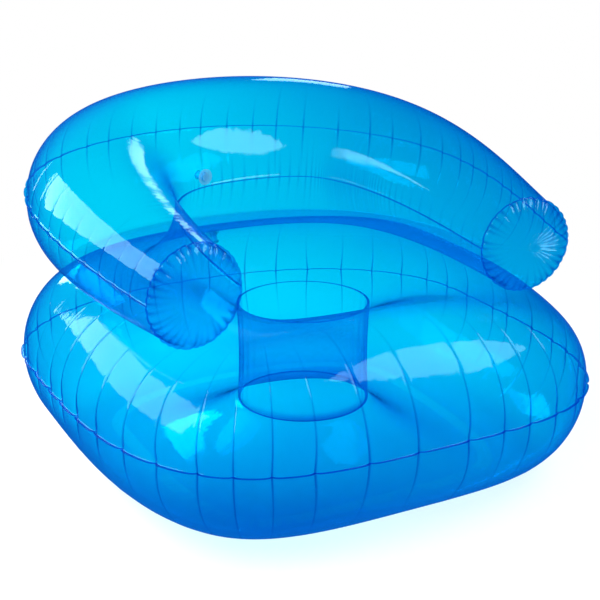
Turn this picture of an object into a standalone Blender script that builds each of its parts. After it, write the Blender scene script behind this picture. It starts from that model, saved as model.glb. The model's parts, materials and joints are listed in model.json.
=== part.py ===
"""Inflatable chair of clear PVC film, in metres, +Z up, with the chair's front towards -Y.

A ring-shaped seat chamber with an open well through its middle carries one fat tube, which runs from
the left arm's end round the back to the right arm's end. Each chamber is blown up through a push-in valve.
The origin is on the floor, under the middle of the whole chair's outline. Left and right are as seen from
the front.
"""
import math

import bpy
import bmesh
import numpy as np
from mathutils import Matrix, Vector

# Film and welds
FILM = 0.0004            # thickness of the PVC film
GAP = 0.0003             # clearance between pieces that touch
RIM_MARGIN = 0.006       # width of the welded margin round the seat's rim
WELL_MARGIN = 0.005      # width of the welded margins round the well
TUBE_MARGIN = 0.005      # width of the welded margins along the tube
END_MARGIN = 0.004       # width of the welded margin round an arm's end

# Seat chamber, with its plan measured from its widest line
SEAT_HALF_WIDTH = 0.535
SEAT_FRONT = 0.714       # from the widest line forward to the rim's seam
SEAT_BACK = 0.3875       # from the widest line back to the rim's seam
SEAM_HEIGHT = 0.1918
CROWN_HEIGHT = 0.3779
CROWN_INSET = 0.1861     # from the rim's seam in to the crown, in plan
FLOOR_BAND = 0.030       # width of the flat ring on which the chair rests
PUCKER_DEPTH = 0.006     # how far each pucker draws the rim's seam in
WELL_RADIUS = 0.1393
WELL_SETBACK = 0.1945    # from the widest line forward to the well's centre
WELL_TOP = 0.3084
WELL_BOTTOM = 0.0947
WELL_WAIST = 0.011       # how far the air bows the well's wall towards the well's axis

# Arm-and-back tube, with its plan measured from the seat's widest line
ARM_SPREAD = 0.3544      # from the chair's middle to the centre of an arm's end
ARM_REACH = 0.4694       # from the widest line forward to the arms' ends
ARM_FLARE = 0.0601       # how far the plan curve's first handle leans outwards
ARM_HANDLE = 0.3947      # how far that handle reaches back
BACK_HANDLE = 0.4075     # half length of the handle across the back
BACK_SET = 0.2358        # from the widest line back to the tube's centre
ARM_RADIUS = 0.094
BACK_RADIUS = 0.1785
ARM_PRESS = 0.0171       # how deep the round arm would sink into the seat
BACK_PRESS = 0.0147      # how deep the round back would sink into the seat
ARM_DENT = 0.026         # how deep an arm's end dents the seat's crown
DENT_REACH = 0.16        # how far from the arm's end the dent fades
DENT_CLEARANCE = 0.003   # spare height over the dent, where the film is curved most
CAP_DOME = 0.018         # how far an end cap bulges
END_FLARE = 0.0015       # how far an arm's end margin leans forward

# Push-in valve, with its levels measured out from the film
FLANGE_RADIUS = 0.0175
FLANGE_THICKNESS = 0.0015
FLANGE_LIFT = 0.0012     # keeps the flat flange clear of the curved film
COLLAR_RADIUS = 0.0105
COLLAR_DEPTH = 0.007
STEM_RADIUS = 0.008
STEM_BORE = 0.005        # radius
STEM_TRAVEL = 0.016
LIP_RADIUS = 0.0092
LIP_THICKNESS = 0.0015
STOP_RADIUS = 0.0098     # radius of the ring that keeps the stem in its collar
STOP_THICKNESS = 0.0013
PLUG_RADIUS = 0.009
PLUG_THICKNESS = 0.0022
SHANK_RADIUS = 0.0044
SHANK_TIP_RADIUS = 0.003
SHANK_DEPTH = 0.0055
STRAP_REACH = 0.0115     # from the valve's axis to the strap's bend
STRAP_WIDTH = 0.005
STRAP_THICKNESS = 0.0015
FLAP_RADIUS = 0.0075
FLAP_THICKNESS = 0.0006
FLAP_REACH = 0.009       # from the valve's axis to the check flap's bend
FLAP_TAB_WIDTH = 0.004
EDGE_EASE = 0.0005       # chamfer of the moulded edges
MERGE_REACH = 0.00001    # points of a turned shape closer than this are one point
HOLE_CLEARANCE = 0.0005
CUT_OVERRUN = 0.004

# Shape shares and counts
FRONT_POWER = 3.5        # squareness of the rim's plan in front of the widest line
BACK_POWER = 2.18        # squareness of the rim's plan behind it
SWELL_POWER = 1.185      # how evenly the tube swells from the arms to the back
INNER_SEAM_DROP = math.radians(-7.3)    # the inner seam's angle at the middle of the back
OUTER_SEAM_RISE = math.radians(10.75)   # the outer seam's angle there
PUCKERS = 44
TUBE_STEPS = 45
UPPER_SHARES = (0, 0.065, 0.19, 0.32, 0.45, 0.58, 0.72, 0.86, 1)
LOWER_SHARES = (0, 0.14, 0.27, 0.38, 0.5, 0.62, 0.73, 0.86, 1)
TOP_RISE_DEGREES = (16, 36, 60, 90)
BOTTOM_RISE_DEGREES = (16, 40, 66, 90)
TOP_DISH_SHARES = (0.3, 0.6, 0.85, 1)
BOTTOM_DISH_SHARES = (0.4, 0.8, 1)
WALL_SHARES = (0.25, 0.5, 0.75)         # rows down the well's wall
DOME_SHARES = (0, 0.35, 0.7, 0.9)       # rings from an end cap's middle outwards
RISE_PUCKER_SHARE = 0.6  # how much of a pucker is left on the first row off the seam
BACK_VALVE_SHARE = 0.4085       # where the back valve lies along the tube
BACK_VALVE_RISE_SHARE = 0.6     # where it lies between the inner seam and the next row up
SEAT_VALVE_SHARE = 0.22  # where the seat valve lies across its facet at the back
SEAT_VALVE_RISE = 60     # the row of the top sheet, in degrees, just above the seat valve
ROUND_STEPS = 20
CAP_STEPS = 28
DENSE = 2000             # points on the lines that the even points are read from

# Values that follow from the sizes above
CROWN_RISE = CROWN_HEIGHT - SEAM_HEIGHT
FLOOR_INSET = SEAM_HEIGHT - FLOOR_BAND / 2
SHEET_LIFT = FILM + GAP / 2
BACK_EDGE = BACK_SET + (BACK_RADIUS + TUBE_MARGIN) * math.cos(OUTER_SEAM_RISE)
WIDEST_Y = (SEAT_FRONT + RIM_MARGIN - BACK_EDGE) / 2
WELL_Y = WIDEST_Y - WELL_SETBACK

FILM_BLUE = (0.0, 0.36, 0.78, 0.55)
FILM_ROUGHNESS = 0.08
VALVE_BLUE = (0.01, 0.42, 0.74, 0.75)
VALVE_ROUGHNESS = 0.25


def clear_scene():
    """Removes whatever the scene holds."""
    for item in list(bpy.data.objects):
        bpy.data.objects.remove(item, do_unlink=True)


def new_collection(name):
    """Returns a new collection under the scene."""
    collection = bpy.data.collections.new(name)
    bpy.context.scene.collection.children.link(collection)
    return collection


def new_material(name, colour, roughness):
    """Returns a plastic material of one colour."""
    material = bpy.data.materials.new(name)
    material.use_nodes = True
    shader = material.node_tree.nodes["Principled BSDF"]
    shader.inputs["Base Color"].default_value = colour
    shader.inputs["Roughness"].default_value = roughness
    shader.inputs["Metallic"].default_value = 0.0
    shader.inputs["Alpha"].default_value = colour[3]
    material.diffuse_color = colour
    return material


def new_object(name, bm, collection, material=None):
    """Makes an object of a finished bmesh."""
    mesh = bpy.data.meshes.new(name)
    bm.to_mesh(mesh)
    bm.free()
    mesh.shade_smooth()
    item = bpy.data.objects.new(name, mesh)
    collection.objects.link(item)
    if material:
        item.data.materials.append(material)
    return item


def give_wall(item):
    """Turns an outer surface into film, with its thickness inwards."""
    wall = item.modifiers.new("film", "SOLIDIFY")
    wall.thickness = FILM
    wall.offset = -1


def even_points(points, count, closed):
    """Returns count points at equal steps along a dense line of points."""
    line = np.vstack([points, points[:1]]) if closed else np.asarray(points)
    steps = np.linalg.norm(np.diff(line, axis=0), axis=1)
    reach = np.concatenate([[0], np.cumsum(steps)])
    wanted = np.linspace(0, reach[-1], count, endpoint=not closed)
    return np.stack([np.interp(wanted, reach, line[:, k]) for k in range(line.shape[1])], axis=1)


def rim_outline(count):
    """Returns even points on the rim's seam in plan, from the front's middle round by the right, and the
    direction into the seat at each."""
    turn = np.linspace(-math.pi / 2, 1.5 * math.pi, DENSE, endpoint=False)
    across = np.cos(turn)
    along = np.sin(turn)
    power = np.where(along < 0, FRONT_POWER, BACK_POWER)
    reach = np.where(along < 0, SEAT_FRONT, SEAT_BACK)
    x = SEAT_HALF_WIDTH * np.sign(across) * np.abs(across) ** (2 / power)
    y = WIDEST_Y + reach * np.sign(along) * np.abs(along) ** (2 / power)
    points = even_points(np.stack([x, y], axis=1), count, closed=True)
    tangent = np.roll(points, -1, axis=0) - np.roll(points, 1, axis=0)
    tangent /= np.linalg.norm(tangent, axis=1)[:, None]
    inwards = np.stack([-tangent[:, 1], tangent[:, 0]], axis=1)
    return points, inwards


def dent(x, y):
    """Returns how much of the dent under an arm's end is left at a place in plan."""
    away = math.hypot(abs(x) - ARM_SPREAD, y - WIDEST_Y + ARM_REACH)
    return math.exp(-(away / DENT_REACH) ** 2)


def at_height(plan, height):
    """Returns plan points as vectors at one height."""
    return [Vector((x, y, height)) for x, y in plan]


def ring_row(plan, radius, height):
    """Returns a row round the well, each point in line with its point of the crown in plan."""
    from_centre = plan - np.array([0, WELL_Y])
    from_centre /= np.linalg.norm(from_centre, axis=1)[:, None]
    return at_height(from_centre * radius + np.array([0, WELL_Y]), height)


def seat_rows(lift, crown, inset, band, rise_degrees, dish_shares, ring):
    """Returns the rows of a seat sheet's outer surface, from its margin in to its well.

    lift is the seam's height on this sheet, crown the height of its crown, inset how far in from the
    seam the crown starts, band how wide it stays flat, and ring the height of its edge at the well.
    """
    seam, inwards = rim_outline(2 * PUCKERS)
    drawn = (np.arange(2 * PUCKERS) % 2 * PUCKER_DEPTH)[:, None]
    rows = [at_height(seam - inwards * (RIM_MARGIN - drawn), lift), at_height(seam + inwards * drawn, lift)]
    for number, degrees in enumerate(rise_degrees):
        angle = math.radians(degrees)
        plan = seam + inwards * inset * (1 - math.cos(angle))
        if number == 0:
            plan = plan + inwards * drawn * RISE_PUCKER_SHARE
        else:
            plan = plan[::2]
        rows.append(at_height(plan, lift + (crown - lift) * math.sin(angle)))
    start = (seam + inwards * (inset + band))[::2]
    if band:
        rows.append(at_height(start, crown))
    well = np.array([point.xy for point in ring_row(start, WELL_RADIUS, ring)])
    run = float(np.linalg.norm(start - well, axis=1).mean())
    drop = abs(crown - ring)
    bend = 2 * run * drop / (run ** 2 + drop ** 2)
    for share in dish_shares:
        fall = (1 - math.sqrt(1 - (bend * share) ** 2)) / (1 - math.sqrt(1 - bend ** 2))
        plan = start + (well - start) * share
        rows.append(at_height(plan, crown + (ring - crown) * fall))
    rows.append(ring_row(start, WELL_RADIUS - WELL_MARGIN, ring))
    return rows


def dent_seat(rows):
    """Lowers the top sheet's crown where the arms' ends lie on it."""
    for row in rows:
        for point in row:
            height_share = (point.z - SEAM_HEIGHT) / CROWN_RISE
            point.z -= ARM_DENT * dent(point.x, point.y) * height_share


def loft(rows, closed, flip=False):
    """Returns a surface through rows of points. A row may have half as many points as the one before."""
    bm = bmesh.new()
    grid = [[bm.verts.new(point) for point in row] for row in rows]
    for near, far in zip(grid, grid[1:]):
        step = len(near) // len(far) if closed else 1
        count = len(far) if closed else len(far) - 1
        for k in range(count):
            after = (k + 1) % len(far)
            if step == 1:
                faces = [(near[k], near[after], far[after], far[k])]
            else:
                middle = near[2 * k + 1]
                faces = [(near[2 * k], middle, far[k]), (middle, far[after], far[k]),
                         (middle, near[(2 * k + 2) % len(near)], far[after])]
            for face in faces:
                bm.faces.new(tuple(reversed(face)) if flip else face)
    return bm


def make_seat(collection, material):
    """Makes the seat's two sheets and the wall of its well."""
    rows = seat_rows(SEAM_HEIGHT + SHEET_LIFT, CROWN_HEIGHT, CROWN_INSET, 0, TOP_RISE_DEGREES,
                     TOP_DISH_SHARES, WELL_TOP + SHEET_LIFT)
    dent_seat(rows[2:-2])
    top = new_object("seat_top_sheet", loft(rows, closed=True), collection, material)
    give_wall(top)
    low_rows = seat_rows(SEAM_HEIGHT - SHEET_LIFT, 0, FLOOR_INSET, FLOOR_BAND, BOTTOM_RISE_DEGREES,
                         BOTTOM_DISH_SHARES, WELL_BOTTOM - SHEET_LIFT)
    bottom = new_object("seat_bottom_sheet", loft(low_rows, closed=True, flip=True), collection, material)
    give_wall(bottom)
    seam, inwards = rim_outline(2 * PUCKERS)
    crown_plan = (seam + inwards * CROWN_INSET)[::2]
    high = WELL_TOP - SHEET_LIFT
    low = WELL_BOTTOM + SHEET_LIFT
    wall_rows = [ring_row(crown_plan, WELL_RADIUS - WELL_MARGIN, high),
                 ring_row(crown_plan, WELL_RADIUS, high)]
    for share in WALL_SHARES:
        radius = WELL_RADIUS - WELL_WAIST * math.sin(math.pi * share)
        wall_rows.append(ring_row(crown_plan, radius, high + (low - high) * share))
    wall_rows.append(ring_row(crown_plan, WELL_RADIUS, low))
    wall_rows.append(ring_row(crown_plan, WELL_RADIUS - WELL_MARGIN, low))
    give_wall(new_object("seat_well_wall", loft(wall_rows, closed=True, flip=True), collection, material))
    return top, rows


def tube_frames(count):
    """Returns the tube's sections from the left arm's end round the back to the right arm's end: each is a
    centre, the direction along the tube, outwards and up across it, the radius and the swell's share."""
    share = np.linspace(0, 1, DENSE)[:, None]
    knots = np.array([[ARM_SPREAD, WIDEST_Y - ARM_REACH],
                      [ARM_SPREAD + ARM_FLARE, WIDEST_Y - ARM_REACH + ARM_HANDLE],
                      [BACK_HANDLE, WIDEST_Y + BACK_SET],
                      [0, WIDEST_Y + BACK_SET]])
    weights = ((1 - share) ** 3, 3 * share * (1 - share) ** 2, 3 * share ** 2 * (1 - share), share ** 3)
    half = sum(weight * knot for weight, knot in zip(weights, knots))
    plan = np.vstack([half * (-1, 1), half[-2::-1]])
    plan = even_points(plan, 2 * DENSE + 1, closed=False)
    along = np.linspace(0, 2, 2 * DENSE + 1)
    swell = np.sin(np.minimum(along, 2 - along) * math.pi / 2) ** SWELL_POWER
    radius = ARM_RADIUS + (BACK_RADIUS - ARM_RADIUS) * swell
    press = ARM_PRESS + (BACK_PRESS - ARM_PRESS) * swell
    line = np.column_stack([plan, CROWN_HEIGHT + radius - press])
    direction = np.gradient(line, axis=0)
    frames = []
    for k in np.linspace(0, 2 * DENSE, count).round().astype(int):
        ahead = Vector(direction[k]).normalized()
        outwards = Vector((-ahead.y, ahead.x, 0)).normalized()
        upwards = ahead.cross(outwards)
        frames.append((Vector(line[k]), ahead, outwards, upwards, float(radius[k]), float(swell[k])))
    return frames


def tube_row(frame, shares, upper, shift=0.0, flare=0.0):
    """Returns one row of a tube sheet's outer surface, with its margins at both ends of the row."""
    centre, ahead, outwards, upwards, radius, swell = frame
    inner = INNER_SEAM_DROP * swell
    outer = math.pi - OUTER_SEAM_RISE * swell
    first, last = (inner, outer) if upper else (outer - 2 * math.pi, inner)

    def place(angle, reach, lean):
        radial = upwards * math.sin(angle) - outwards * math.cos(angle)
        around = upwards * math.cos(angle) + outwards * math.sin(angle)
        return centre + ahead * shift + radial * (reach + flare) + around * lean

    margin = TUBE_MARGIN - flare
    row = [place(first, radius + margin, SHEET_LIFT), place(first, radius, SHEET_LIFT)]
    row += [place(first + (last - first) * share, radius, 0) for share in shares[1:-1]]
    row += [place(last, radius, -SHEET_LIFT), place(last, radius + margin, -SHEET_LIFT)]
    if not upper:
        for point in row:
            left = dent(point.x, point.y)
            point.z = max(point.z, CROWN_HEIGHT + GAP + (DENT_CLEARANCE - ARM_DENT) * left)
    return row


def make_tube(collection, material):
    """Makes the tube's upper and lower sheets."""
    frames = tube_frames(TUBE_STEPS + 1)
    sheets = []
    for name, shares, upper in (("back_tube_upper_sheet", UPPER_SHARES, True),
                                ("back_tube_lower_sheet", LOWER_SHARES, False)):
        rows = [tube_row(frame, shares, upper) for frame in frames]
        rows.insert(0, tube_row(frames[0], shares, upper, -END_FLARE, END_MARGIN))
        rows.append(tube_row(frames[-1], shares, upper, END_FLARE, END_MARGIN))
        sheet = new_object(name, loft(rows, closed=False, flip=True), collection, material)
        give_wall(sheet)
        sheets.append((sheet, rows))
    return sheets[0], frames


def turned(profile, steps):
    """Returns a bmesh turned about +Z from a closed profile of radius and height, given from the top down
    its outer side. A profile that starts and ends on the axis is left open there."""
    bm = bmesh.new()
    points = [bm.verts.new((radius, 0, height)) for radius, height in profile]
    edges = [bm.edges.new(pair) for pair in zip(points, points[1:])]
    if profile[0][0] > 0:
        edges.append(bm.edges.new((points[-1], points[0])))
    bmesh.ops.spin(bm, geom=points + edges, axis=(0, 0, 1), cent=(0, 0, 0), steps=steps,
                   angle=2 * math.pi, use_merge=True)
    bmesh.ops.remove_doubles(bm, verts=bm.verts, dist=MERGE_REACH)
    bmesh.ops.recalc_face_normals(bm, faces=bm.faces)
    return bm


def make_caps(frames, collection, material):
    """Makes the domed discs that close the arms' ends."""
    for name, frame, side in (("left_arm_end_cap", frames[0], -1), ("right_arm_end_cap", frames[-1], 1)):
        centre, ahead, _, upwards, radius, _ = frame
        base = END_FLARE + FILM + GAP
        dome = []
        for share in DOME_SHARES:
            rise = CAP_DOME * math.cos(share * math.pi / 2)
            dome.append((radius * math.sin(share * math.pi / 2), base + rise))
        outer = [(reach, height + FILM) for reach, height in dome]
        margin = [(radius, base + FILM), (radius + END_MARGIN, base + FILM), (radius + END_MARGIN, base),
                  (radius - FILM, base)]
        profile = outer + margin + dome[::-1]
        cap = new_object(name, turned(profile, CAP_STEPS), collection, material)
        towards = ahead * side
        across = upwards.cross(towards)
        turn = Matrix((across, upwards, towards)).transposed().to_4x4()
        cap.matrix_world = Matrix.Translation(centre) @ turn


def box(name, low, high, collection):
    """Makes a box between two corners, as a shape to join to another."""
    bm = bmesh.new()
    size = Vector(high) - Vector(low)
    middle = (Vector(high) + Vector(low)) / 2
    bmesh.ops.create_cube(bm, size=1, matrix=Matrix.Translation(middle) @ Matrix.Diagonal((*size, 1)))
    return as_cutter(new_object(name, bm, collection))


def as_cutter(item):
    """Marks an object as a helper that is no piece of the chair."""
    item.hide_render = True
    item.display_type = "WIRE"
    return item


def combine(item, tool, operation):
    """Cuts an object by a helper, or joins the helper's shape to it."""
    boolean = item.modifiers.new(tool.name, "BOOLEAN")
    boolean.operation = operation
    boolean.object = tool
    boolean.solver = "EXACT"


def place_under(item, parent, location=(0, 0, 0)):
    """Hangs an object on its parent at a place in the parent's frame."""
    item.parent = parent
    item.location = location


def make_valve(name, point, outwards, sheet, collection, cutters, material):
    """Makes a push-in valve on the film at a point, with its strap's bend uphill of its axis."""
    downhill = -(Vector((0, 0, 1)) - outwards * outwards.z).normalized()
    side = outwards.cross(downhill)
    frame = bpy.data.objects.new(name + "_place", None)
    frame.matrix_world = Matrix.Translation(point) @ Matrix((downhill, side, outwards)).transposed().to_4x4()
    collection.objects.link(frame)

    flange_top = FLANGE_LIFT + FLANGE_THICKNESS
    guide = STEM_RADIUS + GAP
    base = new_object(name + "_base", turned([
        (guide, flange_top), (FLANGE_RADIUS - EDGE_EASE, flange_top), (FLANGE_RADIUS, flange_top - EDGE_EASE),
        (FLANGE_RADIUS, FLANGE_LIFT), (COLLAR_RADIUS, FLANGE_LIFT), (COLLAR_RADIUS, -COLLAR_DEPTH),
        (guide, -COLLAR_DEPTH)], ROUND_STEPS), collection, material)
    place_under(base, frame)

    lip_low = flange_top + GAP
    lip_top = lip_low + LIP_THICKNESS
    stop_top = -COLLAR_DEPTH - GAP - STEM_TRAVEL
    stem_end = stop_top - STOP_THICKNESS
    stem = new_object(name + "_stem", turned([
        (STEM_BORE, lip_top), (LIP_RADIUS - EDGE_EASE, lip_top), (LIP_RADIUS, lip_top - EDGE_EASE),
        (LIP_RADIUS, lip_low), (STEM_RADIUS, lip_low), (STEM_RADIUS, stop_top), (STOP_RADIUS, stop_top),
        (STOP_RADIUS, stem_end), (STEM_BORE, stem_end)], ROUND_STEPS), collection, material)
    place_under(stem, frame)
    lug = box(name + "_lug_shape", (-STRAP_REACH - STRAP_THICKNESS, -STRAP_WIDTH / 2, lip_low),
              (-STEM_RADIUS, STRAP_WIDTH / 2, lip_top), cutters)
    place_under(lug, frame)
    combine(stem, lug, "UNION")

    half = STRAP_THICKNESS / 2
    plug_mesh = turned([
        (0, PLUG_THICKNESS - half), (PLUG_RADIUS - EDGE_EASE, PLUG_THICKNESS - half),
        (PLUG_RADIUS, PLUG_THICKNESS - half - EDGE_EASE), (PLUG_RADIUS, -half), (SHANK_RADIUS, -half),
        (SHANK_TIP_RADIUS, -half - SHANK_DEPTH), (0, -half - SHANK_DEPTH)], ROUND_STEPS)
    bmesh.ops.translate(plug_mesh, verts=plug_mesh.verts, vec=(STRAP_REACH, 0, 0))
    plug = new_object(name + "_plug", plug_mesh, collection, material)
    bend = (-STRAP_REACH, 0, lip_top + GAP + half)
    place_under(plug, frame, bend)
    strap = box(name + "_strap_shape", (0, -STRAP_WIDTH / 2, -half),
                (STRAP_REACH - SHANK_RADIUS, STRAP_WIDTH / 2, half), cutters)
    place_under(strap, frame, bend)
    combine(plug, strap, "UNION")

    thin = FLAP_THICKNESS / 2
    flap_mesh = turned([(0, thin), (FLAP_RADIUS, thin), (FLAP_RADIUS, -thin), (0, -thin)], ROUND_STEPS)
    bmesh.ops.translate(flap_mesh, verts=flap_mesh.verts, vec=(FLAP_REACH, 0, 0))
    flap = new_object(name + "_check_flap", flap_mesh, collection, material)
    flap_bend = (-FLAP_REACH, 0, stem_end - GAP - thin)
    place_under(flap, frame, flap_bend)
    tab = box(name + "_tab_shape", (0, -FLAP_TAB_WIDTH / 2, -thin), (FLAP_REACH, FLAP_TAB_WIDTH / 2, thin),
              cutters)
    place_under(tab, frame, flap_bend)
    combine(flap, tab, "UNION")

    hole = bmesh.new()
    bmesh.ops.create_cone(hole, cap_ends=True, segments=ROUND_STEPS, depth=2 * CUT_OVERRUN,
                          radius1=COLLAR_RADIUS + HOLE_CLEARANCE, radius2=COLLAR_RADIUS + HOLE_CLEARANCE)
    hole_shape = as_cutter(new_object(name + "_hole_shape", hole, cutters))
    place_under(hole_shape, frame)
    combine(sheet, hole_shape, "DIFFERENCE")
    return frame, Vector(bend), Vector(flap_bend)


def facet(rows, row, column, across, up):
    """Returns a point on a facet between two rows of a surface, and the direction out of the surface."""
    low_a, low_b = rows[row][column], rows[row][column + 1]
    high_a, high_b = rows[row + 1][column], rows[row + 1][column + 1]
    point = low_a.lerp(low_b, across).lerp(high_a.lerp(high_b, across), up)
    return point, (high_b - low_a).cross(low_b - high_a).normalized()


def tell(name, frame, bend, flap_bend):
    """Prints where a valve's joints lie."""
    place = frame.matrix_world
    print(name, "axis", [round(v, 5) for v in place.col[2][:3]],
          "side", [round(v, 5) for v in place.col[1][:3]])
    print(name, "centre", [round(v, 5) for v in place.translation],
          "strap bend", [round(v, 5) for v in place @ bend],
          "flap bend", [round(v, 5) for v in place @ flap_bend])


def main():
    """Builds the chair."""
    clear_scene()
    chair = new_collection("inflatable_chair")
    cutters = new_collection("cutters")
    film = new_material("clear_blue_film", FILM_BLUE, FILM_ROUGHNESS)
    soft = new_material("clear_blue_valve", VALVE_BLUE, VALVE_ROUGHNESS)
    top, top_rows = make_seat(chair, film)
    (upper, upper_rows), frames = make_tube(chair, film)
    make_caps(frames, chair, film)

    along = BACK_VALVE_SHARE * TUBE_STEPS
    step = int(along) + 1
    point, outwards = facet(upper_rows, step, 1, BACK_VALVE_RISE_SHARE, along - int(along))
    outwards = -outwards if outwards.dot(frames[step][2]) > 0 else outwards
    valve = make_valve("back_valve", point, outwards, upper, chair, cutters, soft)
    bpy.context.view_layer.update()
    tell("back_valve", *valve)

    row = 1 + TOP_RISE_DEGREES.index(SEAT_VALVE_RISE)
    point, outwards = facet(top_rows, row, PUCKERS // 2 - 1, 1 - SEAT_VALVE_SHARE, 0.5)
    outwards = -outwards if outwards.z < 0 else outwards
    valve = make_valve("seat_valve", point, outwards, top, chair, cutters, soft)
    bpy.context.view_layer.update()
    tell("seat_valve", *valve)
    floor = [point for point in top_rows[0] if abs(point.x) < GAP]
    print("front seam", [round(v, 5) for v in floor[0]], "widest line", round(WIDEST_Y, 5),
          "floor point", round(floor[0].y + RIM_MARGIN + SEAM_HEIGHT, 5))


main()
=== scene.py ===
# %% [markdown]
# A blow-up armchair of clear blue film. The real one is two air chambers, each welded together from flat cut
# sheets: a ring-shaped seat with an open well through it, and one fat tube that makes both arms and the back.
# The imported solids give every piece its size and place. Here each sheet is made again as a finer surface with
# the puckers, pleats and creases that welding flat film into round shapes leaves, and gets a see-through finish.

# %% Load the fixed frame
import json
import math

import bpy
import bmesh
import numpy as np
from mathutils import Matrix, Vector

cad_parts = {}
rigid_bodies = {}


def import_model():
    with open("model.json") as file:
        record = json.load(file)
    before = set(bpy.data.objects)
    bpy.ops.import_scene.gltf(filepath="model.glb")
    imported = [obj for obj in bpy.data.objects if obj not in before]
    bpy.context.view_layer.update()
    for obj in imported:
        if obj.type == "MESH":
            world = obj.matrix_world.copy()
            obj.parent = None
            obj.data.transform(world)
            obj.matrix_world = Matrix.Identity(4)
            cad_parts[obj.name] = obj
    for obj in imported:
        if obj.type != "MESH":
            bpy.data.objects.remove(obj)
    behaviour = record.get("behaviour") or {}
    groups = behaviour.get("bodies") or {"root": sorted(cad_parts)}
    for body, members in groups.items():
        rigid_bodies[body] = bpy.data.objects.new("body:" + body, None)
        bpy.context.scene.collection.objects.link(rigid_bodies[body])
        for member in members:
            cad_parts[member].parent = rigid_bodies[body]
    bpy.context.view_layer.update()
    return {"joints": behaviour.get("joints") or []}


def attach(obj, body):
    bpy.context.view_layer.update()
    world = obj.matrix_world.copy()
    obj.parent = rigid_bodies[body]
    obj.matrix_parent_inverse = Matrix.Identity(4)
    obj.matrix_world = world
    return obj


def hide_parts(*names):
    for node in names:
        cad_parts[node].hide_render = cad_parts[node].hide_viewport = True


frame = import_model()
joints = {joint["name"]: joint for joint in frame["joints"]}


def short(values):
    """Rounds values for printing."""
    return [round(value, 3) for value in values]


# %% [markdown]
# The camera stands where the photographer's did: a little left of the front and about a metre up. A long lens
# could be faked by a wide one close by, but then the near arm would swell, so distance and lens belong together.

# %% Camera
CAMERA_AZIMUTH = math.radians(-27.367)
CAMERA_ELEVATION = math.radians(18.593)
CAMERA_DISTANCE = 2.5243
CAMERA_TARGET = Vector((0.0274, 0.0240, 0.2863))
LENS = 70.05      # millimetres on a sensor 36 mm wide


def add_object(name, data):
    """Adds an object to the scene."""
    item = bpy.data.objects.new(name, data)
    bpy.context.scene.collection.objects.link(item)
    return item


def direction_at(azimuth, elevation):
    """Returns the direction towards an azimuth, which is 0 at the chair's front, and an elevation."""
    level = math.cos(elevation)
    return Vector((math.sin(azimuth) * level, -math.cos(azimuth) * level, math.sin(elevation)))


def facing(place, target):
    """Returns the matrix of a camera or lamp at a place that looks at a target."""
    turn = (target - place).to_track_quat("-Z", "Y").to_matrix().to_4x4()
    return Matrix.Translation(place) @ turn


camera_data = bpy.data.cameras.new("photo_camera")
camera_data.lens = LENS
camera_data.sensor_width = 36
camera = add_object("photo_camera", camera_data)
camera_place = CAMERA_TARGET + direction_at(CAMERA_AZIMUTH, CAMERA_ELEVATION) * CAMERA_DISTANCE
camera.matrix_world = facing(camera_place, CAMERA_TARGET)
bpy.context.scene.camera = camera
print("camera at", short(camera_place))

# %% [markdown]
# Clear film has almost no colour of its own. What the eye reads is the white behind it, darkened by each layer,
# and the lamps mirrored in it. So the lamps are soft boxes, set where their mirror images fall on the chair. A
# photographer keeps a lamp off one part with a flag. Here light linking does that, and each box names what it
# lights. A direction alone would do for a far lamp, but two boxes stand so close to the arms that their mirror
# images depend on their places.

# %% Soft boxes
SOFT_BOXES = {
    # name: place in metres; azimuth and elevation that its back points to and its turn, in degrees; width and
    # height in metres; brightness; what it lights
    "left_box": ((-1.015, 0.055, 0.927), (-107.6, 12.0, 12.9), (1.51, 0.42), 6.0, "tube"),
    "right_box": ((0.787, -1.222, 1.316), (69.3, 21.9, 27.1), (1.46, 0.56), 6.0, "tube"),
    "inner_box": ((1.379, 2.273, 1.610), (149, 27, 0), (0.42, 0.62), 2.4, "tube"),
    "seat_left_box": ((-2.303, 1.111, 1.831), (-115, 31, 0), (4.52, 1.66), 4.4, "seat"),
    "seat_right_box": ((1.599, -1.160, 2.550), (53, 49, 0), (1.39, 1.70), 4.2, "seat"),
    "rear_box": ((-0.362, 2.797, 1.361), (-172, 21, 0), (0.70, 1.00), 8.0, "seat"),
    "right_card": ((0.86, -0.95, 0.20), (38, -22, 0), (0.28, 0.12), 6.0, "right_cap"),
}


def add_soft_box(name, place, back, size, brightness):
    """Adds one rectangular lamp."""
    azimuth, elevation, turn = (math.radians(value) for value in back)
    lamp = bpy.data.lights.new(name, "AREA")
    lamp.shape = "RECTANGLE"
    lamp.size, lamp.size_y = size
    lamp.energy = brightness * math.pi * size[0] * size[1]
    print(name, "gives", round(lamp.energy), "W")
    item = add_object(name, lamp)
    place = Vector(place)
    aim = facing(place, place - direction_at(azimuth, elevation))
    item.matrix_world = aim @ Matrix.Rotation(turn, 4, "Z")
    item.visible_camera = False


for name, facts in SOFT_BOXES.items():
    add_soft_box(name, *facts[:-1])

# %% [markdown]
# A short way to write shader nodes comes next. Each call adds a node or two, sets or links their inputs and gives
# back an output, so a material reads from top to bottom like a recipe.


# %% Node helper
def new_nodes(owner):
    """Empties an owner's node tree and returns it."""
    owner.use_nodes = True
    owner.node_tree.nodes.clear()
    return owner.node_tree


def node(tree, kind, inputs=None, output=0, **settings):
    """Adds a node, sets its settings, fills its inputs with values or links, and returns one output."""
    made = tree.nodes.new("ShaderNode" + kind)
    for key, value in settings.items():
        setattr(made, key, value)
    for key, value in (inputs or {}).items():
        if isinstance(value, bpy.types.NodeSocket):
            tree.links.new(value, made.inputs[key])
        else:
            made.inputs[key].default_value = value
    return made.outputs[output] if made.outputs else None


def maths(tree, operation, first, second=0.0):
    """Adds a Math node."""
    return node(tree, "Math", {0: first, 1: second}, operation=operation)


def times(tree, first, second):
    """Multiplies two values."""
    return maths(tree, "MULTIPLY", first, second)


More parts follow.
